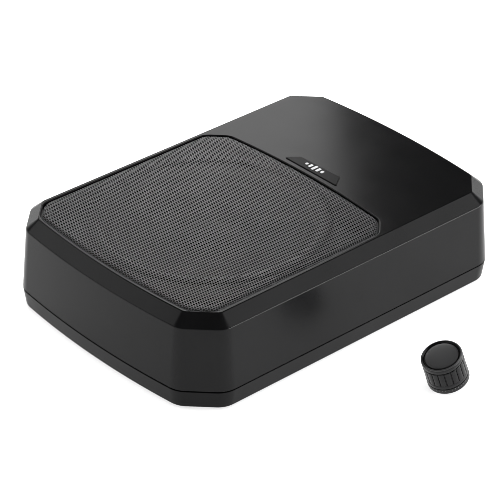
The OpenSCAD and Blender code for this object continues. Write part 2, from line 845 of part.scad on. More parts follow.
top_shell();
base_pan();
shell_gasket();
base_screws();
threaded_inserts();
rubber_feet();
grille_mesh();
grille_frame();
badge();
badge_bars();
driver_basket();
driver_gasket();
driver_screws();
surround();
cone();
dust_cap();
coil_former();
voice_coil();
spider();
top_plate();
magnet();
yoke();
terminal_block();
tinsel_leads();
speaker_wires();
amp_board();
board_standoffs();
heatsink();
transistors();
inductor();
capacitors();
transformer();
speaker_header();
control_board();
control_panel();
panel_screws();
rca_jacks();
rca_insulators();
remote_socket();
signal_socket();
power_socket();
socket_pins();
fuse_holder();
fuse();
status_led();
pot_bodies();
switch_bodies();
gain_knob();
crossover_knob();
boost_knob();
phase_switch();
sense_switch();
remote_housing();
remote_board();
remote_encoder();
remote_shaft();
remote_knob();
remote_ring();
remote_cap();
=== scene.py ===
import math

import bmesh
import bpy
import numpy as np
from mathutils import Matrix, Vector


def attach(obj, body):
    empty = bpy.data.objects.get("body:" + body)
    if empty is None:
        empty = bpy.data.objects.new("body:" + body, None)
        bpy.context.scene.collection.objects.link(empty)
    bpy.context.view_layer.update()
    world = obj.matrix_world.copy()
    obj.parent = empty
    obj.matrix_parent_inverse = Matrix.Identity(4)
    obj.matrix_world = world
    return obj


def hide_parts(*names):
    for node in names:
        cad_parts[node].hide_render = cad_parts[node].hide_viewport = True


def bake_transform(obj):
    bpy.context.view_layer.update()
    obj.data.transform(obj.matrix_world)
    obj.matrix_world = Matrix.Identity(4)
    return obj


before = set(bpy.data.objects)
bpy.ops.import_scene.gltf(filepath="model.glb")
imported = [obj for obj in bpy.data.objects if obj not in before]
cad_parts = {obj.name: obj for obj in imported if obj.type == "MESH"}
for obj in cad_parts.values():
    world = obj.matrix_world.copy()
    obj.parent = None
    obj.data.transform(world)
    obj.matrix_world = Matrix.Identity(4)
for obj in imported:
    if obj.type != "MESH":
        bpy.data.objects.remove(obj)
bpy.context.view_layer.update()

# Lengths in this script are in millimetres until a mesh is made; MM turns them into metres.
MM = 0.001
TAU = 2 * math.pi

# ---- housing, as in the CAD model ----
HALF_LENGTH = 175.0
HALF_WIDTH = 123.4
BOW = 790.0
BODY_CUT = HALF_LENGTH + HALF_WIDTH - 33.5
BODY_BLEND = 20.6
WALL = 2.8
SHELL_FOOT = 16.7
BASE_TOP = 15.7
BEVEL_LOW = (-4.35, 70.5)
DECK_EDGE = (-14.6, 79.4)
DECK = 79.4
BAFFLE = 66.0
LEDGE = 76.4

# ---- grille recess and driver ----
GRILLE_X = -51.8
GRILLE_HALF = (106.0, 105.6)
GRILLE_CUT = GRILLE_HALF[0] + GRILLE_HALF[1] - 20.8
GRILLE_BLEND = 14.0
BAFFLE_HOLE = 89.0
PERFORATION_PITCH = 2.29
PERFORATION_RADIUS = 0.96
SHEET = 0.35

# ---- control panel ----
PANEL_FACE = 163.0
PANEL_HALF = 84.3
PANEL_LOW, PANEL_HIGH = 20.7, 67.3
SEAT_HALF = 79.0
SEAT_LOW, SEAT_HIGH = 24.0, 64.0
KNOB_ROW = 54.5
KNOB_AT = {"gain": -60.0, "crossover": -36.0, "boost": -12.0}
LINE_INPUT_ROW = 36.0
LINE_INPUT_AT = (-66.0, -47.0)

# ---- remote ----
REMOTE_RADIUS = 16.7
REMOTE_TILT = math.radians(19.6)
REMOTE_HEADING = math.radians(173.0)
REMOTE_AT = (12.7, -207.8)
FLOOR = -1.6
BUSHING_RADIUS = 4.0
BUSHING_LENGTH = math.tan(REMOTE_TILT) * (REMOTE_RADIUS - BUSHING_RADIUS)


# ================= outlines =================


def quarter(half_x, half_y, cut, blend, d, counts=(12, 9, 9)):
    """One quarter of an octagon with bowed ends, from the +X end round to the +Y side, moved out by d."""
    centre_x = half_x - BOW
    bow = BOW + d
    r = blend + d
    k = cut + d * math.sqrt(2) - r * math.sqrt(2)
    s = k - centre_x
    v = (s - math.sqrt(2 * (bow - r) ** 2 - s * s)) / 2
    u = s - v
    turn = math.atan2(v, u)
    side_y = half_y + d - r
    side_x = k - side_y
    n_bow, n_corner, n_side = counts
    points = []
    for i in range(n_bow):
        a = turn * i / n_bow
        points.append((centre_x + bow * math.cos(a), bow * math.sin(a)))
    for i in range(n_corner):
        a = turn + (math.pi / 4 - turn) * i / (n_corner - 1)
        points.append((centre_x + u + r * math.cos(a), v + r * math.sin(a)))
    for i in range(n_side):
        a = math.pi / 4 * (1 + i / (n_side - 1))
        points.append((side_x + r * math.cos(a), side_y + r * math.sin(a)))
    return points


def all_round(points):
    """The whole outline from its quarter."""
    back = points[::-1]
    return (
        points
        + [(-x, y) for x, y in back[:-1]]
        + [(-x, -y) for x, y in points]
        + [(x, -y) for x, y in back[:-1]]
    )


def body_ring(d, z):
    outline = all_round(quarter(HALF_LENGTH, HALF_WIDTH, BODY_CUT, BODY_BLEND, d))
    return [(x, y, z) for x, y in outline]


def grille_outline(d):
    outline = all_round(quarter(*GRILLE_HALF, GRILLE_CUT, GRILLE_BLEND, d))
    return [(x + GRILLE_X, y) for x, y in outline]


def grille_ring(d, z):
    return [(x, y, z) for x, y in grille_outline(d)]


def circle_ring(radius, z, count=96, centre=(0.0, 0.0)):
    return [
        (centre[0] + radius * math.cos(TAU * i / count), centre[1] + radius * math.sin(TAU * i / count), z)
        for i in range(count)
    ]


def rounded_path(corners, steps=4):
    """A path of (a, b) through corners given as (a, b, radius), with each radius turned into an arc."""
    path = []
    for i, (a, b, radius) in enumerate(corners):
        if not radius:
            path.append((a, b))
            continue
        here = Vector((a, b))
        to_last = (Vector(corners[i - 1][:2]) - here).normalized()
        to_next = (Vector(corners[(i + 1) % len(corners)][:2]) - here).normalized()
        half = to_last.angle(to_next) / 2
        centre = here + (to_last + to_next).normalized() * (radius / math.sin(half))
        reach = radius / math.tan(half)
        first = here + to_last * reach - centre
        last = here + to_next * reach - centre
        for k in range(steps + 1):
            spoke = first.lerp(last, k / steps).normalized() * radius
            path.append(tuple(centre + spoke))
    return path


# ================= meshes =================


def link(name, mesh):
    piece = bpy.data.objects.new(name, mesh)
    bpy.context.scene.collection.objects.link(piece)
    return piece


def finish_mesh(piece, angle=32.0, weighted=False):
    """Outward normals, smooth shading, and sharp edges where faces meet at more than the angle."""
    bm = bmesh.new()
    bm.from_mesh(piece.data)
    bmesh.ops.remove_doubles(bm, verts=bm.verts, dist=1e-7)
    bmesh.ops.recalc_face_normals(bm, faces=bm.faces)
    bm.to_mesh(piece.data)
    bm.free()
    piece.data.polygons.foreach_set("use_smooth", [True] * len(piece.data.polygons))
    piece.data.set_sharp_from_angle(angle=math.radians(angle))
    if weighted:
        modifier = piece.modifiers.new("weighted normals", "WEIGHTED_NORMAL")
        modifier.keep_sharp = True
        modifier.weight = 80
    return piece


def make(name, points, faces):
    mesh = bpy.data.meshes.new(name)
    mesh.from_pydata([Vector(p) * MM for p in points], [], faces)
    return link(name, mesh)


def loft(name, rings, looped=False):
    """A solid through rings of equal length: capped at both ends, or joined end to end when looped."""
    n = len(rings[0])
    m = len(rings)
    points = [p for ring in rings for p in ring]
    faces = []
    for j in range(m if looped else m - 1):
        low, high = j * n, ((j + 1) % m) * n
        faces += [(low + i, low + (i + 1) % n, high + (i + 1) % n, high + i) for i in range(n)]
    if not looped:
        faces.append(tuple(range(n))[::-1])
        faces.append(tuple(range((m - 1) * n, m * n)))
    return make(name, points, faces)


def lathe(name, path, count=96, looped=False):
    """A solid of revolution about Z from a path of (radius, height)."""
    return loft(name, [circle_ring(r, z, count) for r, z in path], looped)


def combine(target, other, operation):
    modifier = target.modifiers.new("combine", "BOOLEAN")
    modifier.operation = operation
    modifier.solver = "EXACT"
    modifier.object = other
    depsgraph = bpy.context.evaluated_depsgraph_get()
    mesh = bpy.data.meshes.new_from_object(target.evaluated_get(depsgraph))
    target.modifiers.clear()
    target.data = mesh
    bpy.data.objects.remove(other)
    return target


def merge(name, pieces):
    """One object from several that don't touch."""
    bm = bmesh.new()
    for piece in pieces:
        start = len(bm.verts)
        bm.from_mesh(piece.data)
        bm.verts.ensure_lookup_table()
        for v in bm.verts[start:]:
            v.co = piece.matrix_world @ v.co
        bpy.data.objects.remove(piece)
    mesh = bpy.data.meshes.new(name)
    bm.to_mesh(mesh)
    bm.free()
    return link(name, mesh)


def box_form(name, low, high, bevel=0.0, segments=2):
    """A block between two corners with its edges rounded."""
    bm = bmesh.new()
    bmesh.ops.create_cube(bm, size=1.0)
    low, high = Vector(low) * MM, Vector(high) * MM
    for v in bm.verts:
        v.co = Vector(low[i] + (v.co[i] + 0.5) * (high[i] - low[i]) for i in range(3))
    if bevel:
        bmesh.ops.bevel(
            bm, geom=bm.edges[:], offset=bevel * MM, segments=segments, profile=0.5,
            affect="EDGES", clamp_overlap=True,
        )
    mesh = bpy.data.meshes.new(name)
    bm.to_mesh(mesh)
    bm.free()
    return link(name, mesh)


def placed(piece, matrix):
    """Bakes a placement into the mesh, so that the object stays at the origin."""
    piece.data.transform(matrix)
    return piece


def settle(piece, body, slot, *nodes):
    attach(piece, body)
    if nodes:
        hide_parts(*nodes)
    return piece


# ================= materials =================


class Shader:
    """A principled material with helpers that add procedural detail to it."""

    def __init__(self, name, color, roughness, metallic=0.0, **sockets):
        self.material = bpy.data.materials.new(name)
        self.material.use_nodes = True
        self.nodes = self.material.node_tree.nodes
        self.links = self.material.node_tree.links
        self.shader = self.nodes["Principled BSDF"]
        self.shader.inputs["Base Color"].default_value = (*color, 1)
        self.shader.inputs["Roughness"].default_value = roughness
        self.shader.inputs["Metallic"].default_value = metallic
        for socket, value in sockets.items():
            self.shader.inputs[socket.replace("_", " ")].default_value = value
        self.material.diffuse_color = (*color, 1)
        self.coordinates = self.nodes.new("ShaderNodeTexCoord")
        self.color = color
        self.roughness = roughness

    def noise(self, size_mm, detail=2.0, stretch=(1, 1, 1)):
        mapping = self.nodes.new("ShaderNodeMapping")
        mapping.inputs["Scale"].default_value = stretch
        self.links.new(self.coordinates.outputs["Object"], mapping.inputs["Vector"])
        texture = self.nodes.new("ShaderNodeTexNoise")
        texture.inputs["Scale"].default_value = 1 / (size_mm * MM)
        texture.inputs["Detail"].default_value = detail
        self.links.new(mapping.outputs["Vector"], texture.inputs["Vector"])
        return texture.outputs["Fac"]

    def ranged(self, value, low, high, from_low=0.3, from_high=0.7):
        node = self.nodes.new("ShaderNodeMapRange")
        node.inputs["From Min"].default_value = from_low
        node.inputs["From Max"].default_value = from_high
        node.inputs["To Min"].default_value = low
        node.inputs["To Max"].default_value = high
        self.links.new(value, node.inputs["Value"])
        return node.outputs["Result"]

    def bump(self, height, distance_mm, strength=1.0):
        node = self.nodes.new("ShaderNodeBump")
        node.inputs["Distance"].default_value = distance_mm * MM
        node.inputs["Strength"].default_value = strength
        self.links.new(height, node.inputs["Height"])
        self.links.new(node.outputs["Normal"], self.shader.inputs["Normal"])
        return self

    def grain(self, size_mm, depth_mm, detail=2.0, stretch=(1, 1, 1)):
        return self.bump(self.noise(size_mm, detail, stretch), depth_mm)

    def uneven_gloss(self, spread, size_mm=22.0):
        level = self.ranged(self.noise(size_mm, 4.0), self.roughness - spread, self.roughness + spread)
        self.links.new(level, self.shader.inputs["Roughness"])
        return self

    def mottled(self, other, size_mm, low=0.35, high=0.65, detail=3.0):
        self.mixed(other, self.ranged(self.noise(size_mm, detail), 0, 1, low, high))
        return self

    def mixed(self, other, factor):
        mix = self.nodes.new("ShaderNodeMix")
        mix.data_type = "RGBA"
        mix.inputs["A"].default_value = (*self.color, 1)
        mix.inputs["B"].default_value = (*other, 1)
        self.links.new(factor, mix.inputs["Factor"])
        self.links.new(mix.outputs["Result"], self.shader.inputs["Base Color"])
        return self

    def split_along(self, axis, at_mm, other):
        """The other colour on the far side of a plane across one axis."""
        parts = self.nodes.new("ShaderNodeSeparateXYZ")
        self.links.new(self.coordinates.outputs["Object"], parts.inputs["Vector"])
        step = self.nodes.new("ShaderNodeMath")
        step.operation = "GREATER_THAN"
        step.inputs[1].default_value = at_mm * MM
        self.links.new(parts.outputs[axis], step.inputs[0])
        return self.mixed(other, step.outputs["Value"])


def plastic(name, color, roughness, grain_mm=0.35, depth_mm=0.004, spread=0.04, lift=1.3, **sockets):
    """Moulded plastic: fine grain, a gloss that varies a little and a faint drift of tone."""
    shader = Shader(name, color, roughness, **sockets)
    shader.grain(grain_mm, depth_mm, 3.0)
    shader.uneven_gloss(spread)
    shader.mottled(tuple(min(1.0, c * lift) for c in color), 35.0)
    return shader.material


def metal(name, color, roughness, stretch=(1, 1, 1), grain_mm=0.25, depth_mm=0.002, spread=0.06):
    shader = Shader(name, color, roughness, metallic=1.0)
    shader.grain(grain_mm, depth_mm, 3.0, stretch)
    shader.uneven_gloss(spread, 6.0)
    shader.mottled(tuple(c * 0.86 for c in color), 4.0)
    return shader.material


def coated(name, color, roughness, size_mm=0.4, depth_mm=0.006):
    """Powder coat or paint over steel."""
    shader = Shader(name, color, roughness, Coat_Weight=0.15, Coat_Roughness=0.35)
    shader.grain(size_mm, depth_mm, 4.0)
    shader.uneven_gloss(0.05, 8.0)
    shader.mottled(tuple(c * 1.3 for c in color), 6.0)
    return shader.material


def fibre(name, color, other, size_mm, depth_mm, roughness=0.8, **sockets):
    """Pressed pulp or a resin-stiffened weave."""
    shader = Shader(name, color, roughness, **sockets)
    shader.grain(size_mm, depth_mm, 6.0)
    shader.mottled(other, size_mm * 3)
    return shader.material


SHELL = plastic("shell plastic", (0.0052, 0.0052, 0.0055), 0.22, 0.45, 0.0025, 0.02, Specular_IOR_Level=0.17)
BASE = plastic("base plastic", (0.0045, 0.0045, 0.0048), 0.32, 0.5, 0.006, 0.03, Specular_IOR_Level=0.12)
PANEL = plastic("panel plastic", (0.012, 0.012, 0.0125), 0.45, 0.4, 0.01)
SOCKET = plastic("socket plastic", (0.014, 0.014, 0.015), 0.4)
KNOB = plastic("knob plastic", (0.012, 0.012, 0.012), 0.36)
BADGE = plastic("badge plastic", (0.004, 0.004, 0.004), 0.4, 0.6, 0.001, 0.02, Specular_IOR_Level=0.12)
REMOTE_SHELL = plastic("remote shell plastic", (0.007, 0.007, 0.0075), 0.36, Specular_IOR_Level=0.25)
REMOTE_GRIP = plastic("remote grip", (0.0065, 0.0065, 0.007), 0.27, 0.35, 0.003, Specular_IOR_Level=0.2)
REMOTE_DARK = plastic("remote dark ring", (0.003, 0.003, 0.003), 0.25, 0.4, 0.001)
PALE = plastic("pale nylon", (0.62, 0.58, 0.48), 0.45)
SLIDER = plastic("slider plastic", (0.55, 0.55, 0.53), 0.4)
PRINT = plastic("pad printing", (0.6, 0.6, 0.6), 0.5, 0.2, 0.002)
FAINT_PRINT = plastic("faint printing", (0.14, 0.14, 0.14), 0.5, 0.2, 0.002)
BLUE = plastic("potentiometer plastic", (0.02, 0.06, 0.22), 0.42)
RESIN = plastic("chip resin", (0.012, 0.012, 0.012), 0.5, 0.2, 0.006)
SLEEVE = plastic("capacitor sleeve", (0.012, 0.018, 0.05), 0.3)
LAMINATE = plastic("terminal laminate", (0.38, 0.27, 0.11), 0.55)
BOARD = plastic("solder mask", (0.008, 0.07, 0.025), 0.3, 0.8, 0.004)
TAPE = plastic("transformer tape", (0.45, 0.3, 0.04), 0.5)
FUSE = plastic("fuse plastic", (0.55, 0.2, 0.02), 0.2, 0.5, 0.001, Transmission_Weight=0.3)
FERRITE = plastic("ferrite", (0.03, 0.03, 0.033), 0.55, 0.15, 0.01)
FILM = plastic("coil former film", (0.3, 0.13, 0.03), 0.35)
LENS = plastic("status lens", (0.05, 0.14, 0.6), 0.15, 0.5, 0.001, Transmission_Weight=0.5)
GASKET = plastic("foam rubber", (0.003, 0.003, 0.003), 0.85, 0.3, 0.05, Specular_IOR_Level=0.1)
FEET = plastic("foot rubber", (0.012, 0.012, 0.012), 0.75, 0.4, 0.02)
SURROUND = plastic("surround rubber", (0.003, 0.003, 0.0033), 0.65, 0.3, 0.004, Specular_IOR_Level=0.08)
CONE = fibre(
    "cone pulp", (0.002, 0.002, 0.0022), (0.0045, 0.0045, 0.0048), 0.5, 0.04, 0.7, Specular_IOR_Level=0.06
)
SPIDER = fibre("spider cloth", (0.3, 0.17, 0.05), (0.4, 0.25, 0.09), 0.3, 0.05)
STEEL = metal("zinc plated steel", (0.5, 0.5, 0.52), 0.32)
NICKEL = metal("nickel plate", (0.62, 0.61, 0.58), 0.2)
BRASS = metal("brass", (0.6, 0.43, 0.18), 0.28)
COPPER = metal("enamelled copper", (0.6, 0.25, 0.1), 0.35, (0.2, 1, 1))
ALLOY = metal("extruded alloy", (0.55, 0.55, 0.57), 0.35, (1, 0.05, 1))
EMBLEM = plastic("light emblem", (0.75, 0.75, 0.76), 0.35, 0.3, 0.002)
BLACK_STEEL = coated("black screws", (0.02, 0.02, 0.022), 0.35)
BASKET = plastic("matt basket paint", (0.003, 0.003, 0.0032), 0.5, 0.4, 0.006, Specular_IOR_Level=0.06)
MESH = plastic("grille coat", (0.105, 0.105, 0.108), 0.36, 0.3, 0.004, 0.05, 1.04, Specular_IOR_Level=0.4)
# Painted shade: the walls of the holes and the underside of the sheet, which look dark, get a darker colour
# than the sheet's face.
MESH_HOLE_SHADE = plastic("painted hole shade", (0.01, 0.01, 0.01), 0.6, 0.3, 0.004, 0.05, 1.04, Specular_IOR_Level=0.1)
# The cap's own dark grey; on the grip's rim round the cap the same colour paints a reflection.
CAP_AND_PAINTED_RIM_REFLECTION = plastic("remote cap and painted rim reflection", (0.042, 0.042, 0.043), 0.3, 0.3, 0.002)

INSULATOR = Shader("line socket plastic", (0.7, 0.7, 0.68), 0.3)
INSULATOR.grain(0.4, 0.002).split_along("Y", -56.5, (0.5, 0.02, 0.02))
WIRE = Shader("wire insulation", (0.01, 0.01, 0.01), 0.4)
WIRE.grain(0.4, 0.004).split_along("Y", 0.0, (0.35, 0.01, 0.01))

CAD_LOOKS = {
    "shell_gasket": GASKET, "base_screws": BLACK_STEEL, "threaded_inserts": BRASS,
    "grille_frame": BASE, "driver_basket": BASKET, "driver_gasket": GASKET, "driver_screws": BASKET,
    "cone": CONE, "dust_cap": CONE, "coil_former": FILM, "voice_coil": COPPER,
    "top_plate": STEEL, "magnet": FERRITE, "yoke": STEEL, "terminal_block": LAMINATE,
    "speaker_wires": WIRE.material, "amp_board": BOARD, "board_standoffs": BRASS,
    "heatsink": ALLOY, "transistors": RESIN, "inductor": COPPER, "capacitors": SLEEVE,
    "transformer": TAPE, "speaker_header": PALE, "control_board": BOARD, "control_panel": PANEL,
    "panel_screws": BLACK_STEEL, "rca_jacks": NICKEL, "rca_insulators": INSULATOR.material,
    "remote_socket": SOCKET, "signal_socket": PALE, "power_socket": SOCKET, "socket_pins": BRASS,
    "fuse_holder": SOCKET, "fuse": FUSE, "status_led": LENS, "pot_bodies": BLUE, "switch_bodies": STEEL,
    "phase_switch": SLIDER, "sense_switch": SLIDER, "remote_board": BOARD,
    "remote_encoder": STEEL, "remote_shaft": NICKEL,
}


def wear(piece, *materials):
    """Gives a new piece its materials: the first is for all faces that name no other."""
    for material in materials:
        piece.data.materials.append(material)
    return piece


# ================= housing =================


# Screw positions on one side of the middle, with the height that each boss rises to under the deck.
SCREW_BOSSES = {(GRILLE_X, 111.5): 72.6, (56, 111.5): 72.6, (151, 91): 77.0, (-146, 87): 65.0}
BOSS_RADIUS = 4.5
RECESS_LIP = 1.1


def lean(z):
    """Offset of the shell wall from the parting outline at a height; inward is negative."""
    return BEVEL_LOW[0] * (z - SHELL_FOOT) / (BEVEL_LOW[1] - SHELL_FOOT)


def housing_shell():
    """Outer solid, less its cavity, plus the grille well, bosses and panel frame, less the openings."""
    corners = [
        (-0.5, SHELL_FOOT, 0), (0, SHELL_FOOT, 0.35), (*BEVEL_LOW, 2.6), (*DECK_EDGE, 1.7), (-19, DECK, 0),
    ]
    outside = rounded_path(corners, 5)
    shell = loft("housing_shell", [body_ring(d, z) for d, z in outside])
    cavity = [(-WALL, SHELL_FOOT - 2), (BEVEL_LOW[0] - WALL, BEVEL_LOW[1] - 1), (-16.6, LEDGE)]
    combine(shell, loft("cavity", [body_ring(d, z) for d, z in cavity]), "DIFFERENCE")
    well = loft("well", [grille_ring(2.2, BAFFLE - 4), grille_ring(2.2, DECK - 1)])
    combine(shell, well, "UNION")
    bosses = []
    for (x, y), top in SCREW_BOSSES.items():
        for side in (-1, 1):
            bosses.append(loft("boss", [circle_ring(BOSS_RADIUS, z, 32, (x, side * y)) for z in (3, top)]))
    combine(shell, merge("bosses", bosses), "UNION")
    combine(shell, panel_frame_block(), "UNION")
    flare = [(0, LEDGE), (0, DECK - RECESS_LIP)]
    for k in range(1, 6):
        a = math.pi / 2 * k / 5
        flare.append((RECESS_LIP * (1 - math.cos(a)), DECK - RECESS_LIP + RECESS_LIP * math.sin(a)))
    flare.append((RECESS_LIP, DECK + 2))
    combine(shell, loft("recess", [grille_ring(d, z) for d, z in flare]), "DIFFERENCE")
    combine(shell, loft("well_bore", [grille_ring(-2.2, BAFFLE), grille_ring(-2.2, DECK)]), "DIFFERENCE")
    hole = loft("hole", [circle_ring(BAFFLE_HOLE, z, 96, (GRILLE_X, 0)) for z in (BAFFLE - 10, BAFFLE + 5)])
    combine(shell, hole, "DIFFERENCE")
    low, high = (PANEL_FACE - 2, -PANEL_HALF, PANEL_LOW), (PANEL_FACE + 40, PANEL_HALF, PANEL_HIGH)
    combine(shell, box_form("panel recess", low, high, 1.6, 4), "DIFFERENCE")
    low, high = (PANEL_FACE - 12, -SEAT_HALF, SEAT_LOW), (PANEL_FACE + 4, SEAT_HALF, SEAT_HIGH)
    combine(shell, box_form("seat", low, high, 1.0, 2), "DIFFERENCE")
    return finish_mesh(shell, 34, weighted=True)


def panel_frame_block():
    """Block behind the end wall, whose outer face follows the bow of the wall."""
    half = PANEL_HALF + 3.7
    low, high = PANEL_LOW - 2.7, PANEL_HIGH + 2.7
    count = 16
    sections = []
    for i in range(count + 1):
        y = -half + 2 * half * i / count
        outer = []
        for z in (low, high):
            bow = BOW + lean(z) - 1.0
            outer.append((HALF_LENGTH - BOW + math.sqrt(bow * bow - y * y), y, z))
        sections.append([(PANEL_FACE - 6, y, low), outer[0], outer[1], (PANEL_FACE - 6, y, high)])
    return loft("frame block", sections)


BASE_SCREW_AT = [(x, side * y) for x, y in SCREW_BOSSES for side in (-1, 1)]
INSERT_AT = [(x, y) for x in (-140, 140) for y in (-60, 60)]
FOOT_AT = [(x, y) for x in (-118, 118) for y in (-92, 92)]


def base_tray():
    """Tray with a rounded foot, posts for the inserts, and holes for them and for the screws."""
    corners = [
        (-18, 0, 0), (-2.3, 0, 2.2), (-0.05, BASE_TOP, 0.4),
        (-WALL, BASE_TOP, 0), (-4.9, 3, 1.0), (-18, 3, 0),
    ]
    outside = rounded_path(corners, 5)
    tray = loft("base_tray", [body_ring(d, z) for d, z in outside])
    posts = [loft("post", [circle_ring(6.5, 2, 32, p), circle_ring(6.5, 12, 32, p)]) for p in INSERT_AT]
    combine(tray, merge("posts", posts), "UNION")
    cuts = []
    for p in BASE_SCREW_AT:
        path = [(3.55, -1), (3.55, -0.01), (3.2, 0.35), (3.2, 1.4), (1.6, 1.4), (1.6, 6)]
        cuts.append(loft("cut", [circle_ring(r, z, 32, p) for r, z in path]))
    for p in INSERT_AT:
        path = [(4.3, -1), (4.3, -0.01), (3.8, 0.4), (3.8, 10)]
        cuts.append(loft("cut", [circle_ring(r, z, 32, p) for r, z in path]))
    combine(tray, merge("cuts", cuts), "DIFFERENCE")
    return finish_mesh(tray, 34, weighted=True)


def foot_pads():
    """Round rubber feet with a hollow in the middle."""
    path = [(0.5, 0), (8, 0), (8, -0.9), (7.9, -1.25), (7.5, FLOOR), (4.6, FLOOR), (4.2, -1.2), (0.5, -1.2)]
    pads = [loft("pad", [circle_ring(r, z, 48, p) for r, z in path]) for p in FOOT_AT]
    return finish_mesh(merge("foot_pads", pads), 40)


# ================= grille =================


def inside_distance(points, outline):
    """Distance of each point from the outline, positive inside it."""
    a = np.array(outline)
    b = np.roll(a, -1, axis=0)
    edge = b - a
    squared = (edge**2).sum(1)
    result = np.empty(len(points))
    for start in range(0, len(points), 4000):
        p = points[start : start + 4000, None, :]
        t = np.clip(((p - a) * edge).sum(2) / squared, 0, 1)
        gap = p - (a + t[..., None] * edge)
        distance = np.sqrt((gap**2).sum(2)).min(1)
        # The outline is convex and runs anticlockwise, so a point inside is left of every edge.
        left = (edge[:, 0] * (p[..., 1] - a[:, 1]) - edge[:, 1] * (p[..., 0] - a[:, 0])).min(1)
        result[start : start + 4000] = np.where(left > 0, distance, -distance)
    return result


SHEET_EDGE = -1.0
ROLL_WIDTH = 3.4
ROLL_DEPTH = 2.3
SHEET_TOP = 79.75
CROWN = 0.25
BEAD_INNER, BEAD_OUTER, BEAD_FLANK, BEAD_RISE = 88.5, 98.5, 2.2, 0.3
BEAD_END, BEAD_FADE = 2.0, 4.0  # how far from the sheet's edge the pressed ring stops, and over what it fades
CELL_MARGIN = 0.9  # cells with their centre nearer to the edge than this are left out


def sheet_height(points, outline):
    """Height of the sheet's upper face: a slight crown, a pressed ring, and an edge that rolls down."""
    depth = inside_distance(points, outline)
    t = np.clip(1 - depth / ROLL_WIDTH, 0, 1)
    roll = ROLL_DEPTH * (1 - np.sqrt(np.clip(1 - t**2, 0.0, 1)))
    u = (points[:, 0] - GRILLE_X) / GRILLE_HALF[0]
    v = points[:, 1] / GRILLE_HALF[1]
    crown = CROWN * np.clip(1 - u**2, 0, 1) * np.clip(1 - v**2, 0, 1)
    radius = np.hypot(points[:, 0] - GRILLE_X, points[:, 1])
    flank_in = np.clip((radius - BEAD_INNER) / BEAD_FLANK, 0, 1)
    flank_out = np.clip((BEAD_OUTER - radius) / BEAD_FLANK, 0, 1)
    flank = np.minimum(flank_in, flank_out) * np.clip((depth - BEAD_END) / BEAD_FADE, 0, 1)
    bead = BEAD_RISE * flank * flank * (3 - 2 * flank)
    return SHEET_TOP + crown + bead - roll


def perforated_sheet():
    """Sheet with staggered holes: each six-sided cell has a hole in it, with walls through the thickness.

    The second material, a darker colour, paints shade on the walls and the underside.
    """
    outline = grille_outline(SHEET_EDGE)
    pitch = PERFORATION_PITCH
    row = pitch * math.sqrt(3) / 2
    reach = max(GRILLE_HALF) + 2
    cells = []
    for j in range(-int(reach / row), int(reach / row) + 1):
        for i in range(-int(reach / pitch) - 1, int(reach / pitch) + 2):
            cells.append((GRILLE_X + (i + 0.5 * (j % 2)) * pitch, j * row))
    cells = np.array(cells)
    cells = cells[inside_distance(cells, outline) > CELL_MARGIN]
    angles = np.radians(30 + 60 * np.arange(6))
    spokes = np.stack([np.cos(angles), np.sin(angles)], 1)
    corners = (cells[:, None, :] + spokes * pitch / math.sqrt(3)).reshape(-1, 2)
    rims = (cells[:, None, :] + spokes * PERFORATION_RADIUS).reshape(-1, 2)
    # Shared corners fall on whole numbers of half pitches and third rows.
    keys = np.round((corners - (GRILLE_X, 0)) / (pitch / 2, row / 3)).astype(np.int64)
    _, first, corner_index = np.unique(keys, axis=0, return_index=True, return_inverse=True)
    corner_index = corner_index.reshape(-1)
    flat = np.concatenate([corners[first], rims])
    top = sheet_height(flat, outline)
    n = len(flat)
    upper = np.column_stack([flat, top])
    lower = np.column_stack([flat, top - SHEET])
    a = corner_index.reshape(-1, 6)
    b = np.roll(a, -1, axis=1)
    c = len(first) + np.arange(len(rims)).reshape(-1, 6)
    d = np.roll(c, -1, axis=1)
    tops = np.stack([a, b, d, c], 2).reshape(-1, 4)
    walls = np.stack([c, d, d + n, c + n], 2).reshape(-1, 4)
    bottoms = np.stack([a + n, c + n, d + n, b + n], 2).reshape(-1, 4)
    pairs = np.stack([a, b], 2).reshape(-1, 2)
    _, where, times = np.unique(np.sort(pairs, axis=1), axis=0, return_index=True, return_counts=True)
    rim_pairs = pairs[where[times == 1]]
    edges = np.column_stack([rim_pairs[:, 0], rim_pairs[:, 0] + n, rim_pairs[:, 1] + n, rim_pairs[:, 1]])
    faces = np.concatenate([tops, walls, bottoms, edges])
    mesh = bpy.data.meshes.new("grille_sheet")
    mesh.from_pydata((np.concatenate([upper, lower]) * MM).tolist(), [], faces.tolist())
    mesh.polygons.foreach_set("use_smooth", [True] * len(faces))
    # Painted shade: the hole walls and the underside take the second, darker material.
    coat = np.zeros(len(faces), dtype=np.int32)
    coat[len(tops):len(tops) + len(walls) + len(bottoms)] = 1
    mesh.polygons.foreach_set("material_index", coat)
    mesh.set_sharp_from_angle(angle=math.radians(40))
    return link("grille_sheet", mesh)


def grille_hem():
    """Folded edge of the sheet, standing in the recess."""
    path = rounded_path(
        [(-1.0, LEDGE + 0.2, 0.2), (-1.0, 77.9, 0.35), (-1.9, 78.3, 0.35), (-1.9, LEDGE + 0.2, 0.2)], 3
    )
    return finish_mesh(loft("grille_hem", [grille_ring(d, z) for d, z in path], looped=True), 60)


# ================= badge =================


def plate(name, corners, low, high, bevel, segments=3, corner_radius=0.0):
    """A flat plate from its outline, with its upper edge rounded."""
    outline = rounded_path([(x, y, corner_radius) for x, y in corners], 5) if corner_radius else corners
    bm = bmesh.new()
    verts = [bm.verts.new(Vector((x, y, low)) * MM) for x, y in outline]
    face = bm.faces.new(verts)
    lifted = bmesh.ops.extrude_face_region(bm, geom=[face])
    for item in lifted["geom"]:
        if isinstance(item, bmesh.types.BMVert):
            item.co.z = high * MM
    rim = [e for e in bm.edges if all(abs(v.co.z - high * MM) < 1e-9 for v in e.verts)]
    bmesh.ops.bevel(bm, geom=rim, offset=bevel * MM, segments=segments, profile=0.5, affect="EDGES")
    mesh = bpy.data.meshes.new(name)
    bm.to_mesh(mesh)
    bm.free()
    return link(name, mesh)


